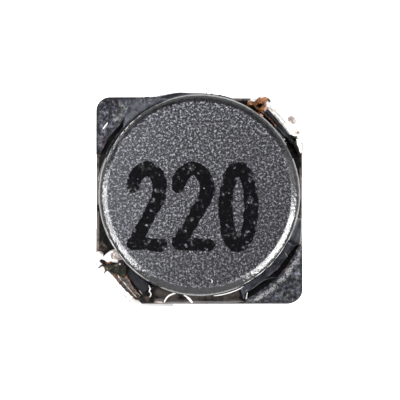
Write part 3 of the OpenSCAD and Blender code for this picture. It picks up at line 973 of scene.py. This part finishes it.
def dress_northwest():
    """Thin adhesive smeared over the post at the upper left."""
    film_r = 2.78
    film_angles = [math.radians(a) for a in (140, 135, 129, 122, 114, 107)]
    film_in = [(AXIS_X + film_r * math.cos(a), AXIS_Y + film_r * math.sin(a)) for a in film_angles]
    film_out = [(-1.2, 2.86), (-1.5, 2.85), (-1.72, 2.82), (-1.9, 2.68), (-2.0, 2.46), (-2.08, 2.22)]
    sheet(
        "adhesive_film_northwest", film_in + film_out, POST_Z + 0.004, 0.03, GREY,
        edge=0.12, blur=0.03, seed=21.0,
    )


def dress_finish():
    """Solder, resin, flux and stains at the finish terminal, upper right, with painted shadow lines at the
    plate's edge and painted glints.
    """
    copper = [
        [
            (1.35, 2.67, 2.12, 0.05), (1.42, 2.7, 2.16, 0.075), (1.51, 2.71, 2.16, 0.065),
            (1.57, 2.67, 2.14, 0.05),
        ],
        [
            (1.58, 2.71, 2.16, 0.06), (1.66, 2.76, 2.2, 0.075), (1.76, 2.79, 2.22, 0.075),
            (1.86, 2.8, 2.2, 0.06), (1.93, 2.77, 2.16, 0.03),
        ],
        [
            (1.79, 2.67, 2.16, 0.06), (1.75, 2.59, 2.18, 0.07), (1.71, 2.51, 2.14, 0.055),
            (1.78, 2.44, 2.08, 0.04),
        ],
    ]
    lump("solder_blob_finish", copper, [FLUXED], voxel=0.02, smooth=3, rough=0.06, seed=2.0)
    fibre(
        "wire_tip_finish",
        [
            (1.86, 2.85, 2.2, 0.014), (1.91, 2.81, 2.24, 0.022), (1.95, 2.76, 2.22, 0.02),
            (1.92, 2.72, 2.18, 0.01),
        ],
        [FLUX],
    )
    lump(
        "solder_cap_finish",
        [[(1.93, 2.71, 2.0, 0.2)], [(1.98, 2.6, 2.05, 0.1), (2.08, 2.5, 2.05, 0.08)]],
        [BRIGHT], rough=0.04, seed=4.0,
    )
    gap_out = [(1.8, 2.66), (1.97, 2.465), (2.165, 2.24), (2.385, 1.965), (2.55, 1.74), (2.72, 1.49)]
    gap_in = [(2.64, 1.45), (2.46, 1.68), (2.295, 1.9), (2.08, 2.17), (1.885, 2.4), (1.72, 2.59)]
    # Painted shadow: a black line along the edge of the finish terminal's plate, between the plate and the
    # drum.
    sheet("shadow_line_finish", gap_out + gap_in, 2.06, 0.03, BLACK_ADHESIVE_AND_SHADOW, blur=0.01)
    lip_out = [(2.75, 1.62), (2.65, 1.85), (2.4, 2.15), (2.25, 2.33), (2.02, 2.58), (1.9, 2.72)]
    sheet("tin_lip_finish", gap_out[:-1] + lip_out, 2.09, 0.02, BRIGHT, edge=0.02, blur=0.01)
    sheet(
        "solder_film_finish",
        [(2.68, 1.69), (2.79, 1.72), (2.83, 1.64), (2.83, 1.24), (2.77, 1.36), (2.71, 1.52)],
        POST_Z + 0.002, 0.012, BRIGHT, edge=0.02, seed=17.0,
    )
    sheet(
        "adhesive_patch_finish",
        [(2.04, 2.1), (2.13, 2.1), (2.27, 1.93), (2.36, 1.8), (2.34, 1.66), (2.24, 1.76), (2.13, 1.93)],
        2.0, 0.05, GREY, seed=18.0,
    )
    resin = [
        (1.5, 2.7), (1.72, 2.59), (1.885, 2.4), (2.08, 2.17), (2.16, 2.07), (2.1, 2.03), (2.0, 2.15),
        (1.82, 2.32), (1.63, 2.47), (1.45, 2.6),
    ]
    sheet("resin_finish", resin, 2.07, 0.09, RESIN, blur=0.05, seed=3.0)
    fibre(
        "streak_finish",
        [
            (2.14, 2.08, 2.08, 0.012), (2.25, 1.95, 2.1, 0.03), (2.38, 1.81, 2.1, 0.028),
            (2.53, 1.71, 2.09, 0.01),
        ],
        [GREY],
    )
    # Painted glints: small white dots between the drum and the plate.
    lump(
        "glints_finish",
        [[(2.19, 1.77, 2.05, 0.028)], [(2.36, 1.7, 2.08, 0.034)], [(2.42, 1.62, 2.08, 0.016)]],
        [DUST_AND_HIGHLIGHT], voxel=0.012, smooth=1,
    )
    spur = [
        [
            (2.5, 1.82, 2.1, 0.03), (2.6, 1.76, 2.12, 0.05), (2.72, 1.72, 2.12, 0.03),
            (2.83, 1.68, 2.12, 0.012),
        ],
        [(2.62, 1.74, 2.1, 0.05), (2.66, 1.62, 2.08, 0.035)],
        [(2.62, 1.76, 2.12, 0.03), (2.72, 1.79, 2.12, 0.015)],
    ]
    lump("flux_spur_finish", spur, [FLUX], voxel=0.02, smooth=2, rough=0.03, seed=3.0)
    # Painted shadow: a thin line along the outer edge of the tin lip.
    fibre(
        "lip_shadow_finish",
        [
            (1.93, 2.69, 2.1, 0.006), (2.03, 2.57, 2.11, 0.01), (2.14, 2.45, 2.11, 0.008),
            (2.26, 2.33, 2.11, 0.011), (2.4, 2.16, 2.11, 0.006),
        ],
        [RESIDUE_AND_PAINTED_LIGHT],
    )
    sheet(
        "stain_small_finish",
        [(2.62, 2.06), (2.74, 2.08), (2.82, 1.98), (2.7, 1.96)],
        PAD_Z + 0.002, 0.01, RESIDUE_AND_PAINTED_LIGHT, blur=0.06, seed=16.0,
    )
    stain = [(2.5, 2.42), (2.58, 2.47), (2.68, 2.43), (2.74, 2.33), (2.7, 2.25), (2.6, 2.24), (2.52, 2.3)]
    sheet("stain_finish", stain, PAD_Z + 0.002, 0.01, RESIDUE_AND_PAINTED_LIGHT, blur=0.05, seed=6.0)


def dress_start():
    """Solder, resin, flux and stains at the start terminal, lower left."""
    splash = [
        (-2.74, -1.62), (-2.68, -1.57), (-2.54, -1.43), (-2.43, -1.37), (-2.3, -1.33), (-2.31, -1.41),
        (-2.4, -1.46), (-2.43, -1.55), (-2.4, -1.6), (-2.29, -1.62), (-2.2, -1.62), (-2.25, -1.72),
        (-2.37, -1.72), (-2.46, -1.69), (-2.54, -1.72), (-2.63, -1.66),
    ]
    sheet("solder_splash_start", splash, 2.16, 0.06, BRIGHT, seed=5.0)
    patch = [
        (-2.43, -1.47), (-2.3, -1.39), (-2.19, -1.44), (-2.12, -1.55), (-2.15, -1.64), (-2.28, -1.66),
        (-2.41, -1.58),
    ]
    sheet("residue_start", patch, 2.205, 0.03, RESIDUE_AND_PAINTED_LIGHT, seed=8.0)
    sheet(
        "solder_film_start",
        [(-2.83, -1.28), (-2.83, -1.6), (-2.72, -1.6), (-2.7, -1.53), (-2.76, -1.46), (-2.81, -1.38)],
        2.056, 0.02, BRIGHT, edge=0.02, seed=19.0,
    )
    fibre(
        "scratch_start",
        [
            (-2.5, -2.12, PAD_Z + 0.004, 0.005), (-2.36, -2.31, PAD_Z + 0.006, 0.01),
            (-2.2, -2.5, PAD_Z + 0.006, 0.006), (-2.06, -2.66, PAD_Z + 0.006, 0.01),
            (-1.93, -2.81, PAD_Z + 0.004, 0.005),
        ],
        [RESIDUE_AND_PAINTED_LIGHT],
    )
    cap = [(-2.62, -1.98), (-2.6, -1.86), (-2.68, -1.8), (-2.8, -1.88), (-2.85, -2.0), (-2.74, -2.08)]
    sheet("solder_cap_start", cap, 2.12, 0.08, BRIGHT, seed=15.0)
    crust = [
        (-2.7, -1.66), (-2.6, -1.7), (-2.54, -1.75), (-2.4, -1.73), (-2.29, -1.71), (-2.24, -1.64),
        (-2.1, -1.66), (-2.01, -1.74), (-1.98, -1.88), (-2.02, -2.05), (-2.1, -2.14), (-2.21, -2.05),
        (-2.29, -2.11), (-2.4, -2.02), (-2.5, -1.93), (-2.64, -1.9), (-2.7, -1.82),
    ]
    sheet("flux_start", crust, 2.12, 0.06, FLUX, blur=0.04, seed=9.0)
    angles = np.linspace(0, 6.0, 9)
    ring = [(-2.17 + 0.075 * math.cos(a), -1.75 + 0.06 * math.sin(a), 2.17, 0.022) for a in angles]
    fibre("flux_ring_start", ring, [BLACK_ADHESIVE_AND_SHADOW])
    lump(
        "grain_start",
        [[(-2.2, -1.76, 2.17, 0.03)], [(-2.1, -1.66, 2.17, 0.02)]],
        [DUST_AND_HIGHLIGHT], voxel=0.012, smooth=1,
    )
    resin_in = [(-2.1, -2.1), (-2.0, -2.04), (-1.85, -2.32), (-1.65, -2.57), (-1.46, -2.74), (-1.32, -2.82)]
    resin_out = [
        (-1.51, -2.83), (-1.79, -2.74), (-1.99, -2.55), (-2.21, -2.33), (-2.43, -2.05), (-2.55, -1.88)
    ]
    sheet("resin_start", resin_in + resin_out, 2.1, 0.03, AMBER, seed=11.0)
    notch = [
        (-2.03, -1.8), (-1.88, -1.88), (-1.65, -2.08), (-1.36, -2.28), (-1.38, -2.7), (-1.5, -2.7),
        (-1.64, -2.52), (-1.85, -2.3), (-2.05, -2.06),
    ]
    sheet("adhesive_notch_start", notch, 1.92, 0.02, BLACK_ADHESIVE_AND_SHADOW, edge=0.02, blur=0.0)
    for name, way, material in (
        (
            "line_start_first",
            [
                (-2.3, -1.87, 2.17, 0.006), (-2.27, -2.0, 2.16, 0.01), (-2.23, -2.12, 2.15, 0.012),
                (-2.13, -2.25, 2.14, 0.01),
            ],
            RESIDUE_AND_PAINTED_LIGHT,
        ),
        (
            "line_start_second",
            [
                (-2.13, -2.22, 2.14, 0.012), (-2.02, -2.36, 2.14, 0.018), (-1.88, -2.52, 2.14, 0.014),
                (-1.73, -2.69, 2.13, 0.012),
            ],
            RESIDUE_AND_PAINTED_LIGHT,
        ),
        (
            "line_start_third",
            [
                (-1.66, -2.49, 2.13, 0.008), (-1.58, -2.6, 2.13, 0.015), (-1.48, -2.7, 2.13, 0.02),
                (-1.36, -2.81, 2.12, 0.012),
            ],
            RESIDUE_AND_PAINTED_LIGHT,
        ),
        (
            "line_start_fourth",
            [
                (-1.76, -2.74, 2.12, 0.012), (-1.62, -2.77, 2.13, 0.022), (-1.5, -2.82, 2.13, 0.02),
                (-1.38, -2.85, 2.12, 0.01),
            ],
            FLUXED,
        ),
    ):
        fibre(name, way, [material])
    spill = [
        (-1.33, -2.38), (-1.15, -2.41), (-0.95, -2.49), (-0.97, -2.58), (-1.1, -2.66), (-1.21, -2.74),
        (-1.26, -2.69),
    ]
    sheet("flux_window_start", spill, 2.06, 0.02, FLUX, seed=13.0)
    sheet(
        "residue_window_start",
        [(-1.25, -2.74), (-1.1, -2.76), (-0.97, -2.84), (-1.25, -2.84)],
        2.06, 0.02, RESIDUE_AND_PAINTED_LIGHT, seed=14.0,
    )


dress_northwest()
dress_finish()
dress_start()

# ---------- dust, fibres and painted glints ---


def add_dust():
    """Loose fibres and dust, and painted glints: short pale strands on a post and on the top."""
    fibre(
        "fibre_notch",
        [
            (-1.4, -2.36, 2.3, 0.01), (-1.36, -2.44, 2.34, 0.016), (-1.38, -2.52, 2.34, 0.018),
            (-1.34, -2.58, 2.34, 0.016), (-1.36, -2.66, 2.32, 0.018), (-1.43, -2.72, 2.26, 0.014),
        ],
        [DUST_AND_HIGHLIGHT],
    )
    fibre(
        "glint_northwest",
        [
            (-2.66, 1.96, POST_Z, 0.008), (-2.61, 2.04, POST_Z + 0.004, 0.022),
            (-2.56, 2.1, POST_Z + 0.004, 0.018), (-2.53, 2.15, POST_Z, 0.006),
        ],
        [DUST_AND_HIGHLIGHT],
    )
    lump(
        "dust_north",
        [
            [(0.14, 2.93, 2.5, 0.03)], [(0.2, 2.95, 2.5, 0.022)], [(0.35, 2.94, 2.5, 0.028)],
            [(0.58, 2.9, 2.5, 0.03)], [(-0.5, 2.93, 2.5, 0.02)],
        ],
        [BLACK_ADHESIVE_AND_SHADOW], voxel=0.012, smooth=1,
    )
    # Painted glint on the top, near the print.
    fibre(
        "top_glint_south",
        [(0.33, -2.19, TOP_Z, 0.004), (0.355, -2.24, TOP_Z + 0.002, 0.013), (0.34, -2.3, TOP_Z, 0.005)],
        [DUST_AND_HIGHLIGHT],
    )
    fibre(
        "fibre_south",
        [(1.33, -2.55, 2.4, 0.008), (1.31, -2.66, 2.38, 0.014), (1.29, -2.83, 2.3, 0.018)],
        [DUST_AND_HIGHLIGHT],
    )


add_dust()

# ---------- floor, light and camera ----------


def make_floor():
    half = 400 * MM
    mesh = bpy.data.meshes.new("floor")
    mesh.from_pydata(
        [(-half, -half, 0), (half, -half, 0), (half, half, 0), (-half, half, 0)], [], [(0, 1, 2, 3)]
    )
    mesh.materials.append(white_floor())
    floor = bpy.data.objects.new("floor", mesh)
    bpy.context.scene.collection.objects.link(floor)


def make_light(name, azimuth, zenith, distance, width, height, radiance):
    """Softbox that looks at the part. Azimuth is counter-clockwise from +X, zenith is down from +Z."""
    a, z = math.radians(azimuth), math.radians(zenith)
    toward = Vector((math.cos(a) * math.sin(z), math.sin(a) * math.sin(z), math.cos(z)))
    data = bpy.data.lights.new(name, "AREA")
    data.shape = "RECTANGLE"
    data.size, data.size_y = width * MM, height * MM
    data.energy = radiance * math.pi * width * height * MM * MM
    lamp = bpy.data.objects.new(name, data)
    bpy.context.scene.collection.objects.link(lamp)
    lamp.location = (Vector((0, 0, TOP_Z)) + toward * distance) * MM
    lamp.rotation_mode = "QUATERNION"
    lamp.rotation_quaternion = toward.to_track_quat("Z", "Y")
    lamp.visible_camera = False


def make_world(overhead, horizon):
    """Dim above, bright low down all round."""
    world = bpy.data.worlds.new("studio")
    world.use_nodes = True
    nodes, links = world.node_tree.nodes, world.node_tree.links
    spot = nodes.new("ShaderNodeTexCoord")
    axes = nodes.new("ShaderNodeSeparateXYZ")
    band = nodes.new("ShaderNodeMapRange")
    band.interpolation_type = "SMOOTHSTEP"
    for key, value in {"From Min": 0.38, "From Max": 0.58, "To Min": horizon, "To Max": overhead}.items():
        band.inputs[key].default_value = value
    links.new(spot.outputs["Generated"], axes.inputs[0])
    links.new(axes.outputs["Z"], band.inputs["Value"])
    links.new(band.outputs["Result"], nodes["Background"].inputs["Strength"])
    nodes["Background"].inputs["Color"].default_value = (1, 1, 1, 1)
    bpy.context.scene.world = world


def make_camera(target, tilt, distance, field):
    """Looks down on target, tilted towards -Y. Field is the width seen at the target."""
    data = bpy.data.cameras.new("camera")
    camera = bpy.data.objects.new("camera", data)
    bpy.context.scene.collection.objects.link(camera)
    t = math.radians(tilt)
    camera.location = (target + Vector((0, -math.sin(t), math.cos(t))) * distance) * MM
    camera.rotation_euler = (t, 0, 0)
    data.sensor_width = 36
    data.lens = 36 * distance / field
    data.clip_start, data.clip_end = distance * 0.1 * MM, distance * 20 * MM
    bpy.context.scene.camera = camera


make_floor()
make_world(0.07, 0.6)
make_light("softbox_left", 197, 49, 300, 270, 66, 9.3)
make_light("softbox_right", 332, 50, 300, 215, 80, 12.5)
make_light("softbox_side", 12, 50, 300, 130, 76, 1.3)
make_light("softbox_front", 270, 51, 300, 300, 110, 0.6)
make_light("softbox_near", 183, 28, 12, 5, 5, 8.0)
make_light("softbox_corner", 45, 18, 300, 110, 110, 8.0)
make_light("softbox_back", 146, 66, 300, 90, 18, 9.0)
make_camera(Vector((0.02, 0.0, POST_Z)), 2.0, 114, 11.05)
bpy.context.scene.view_settings.view_transform = "Standard"
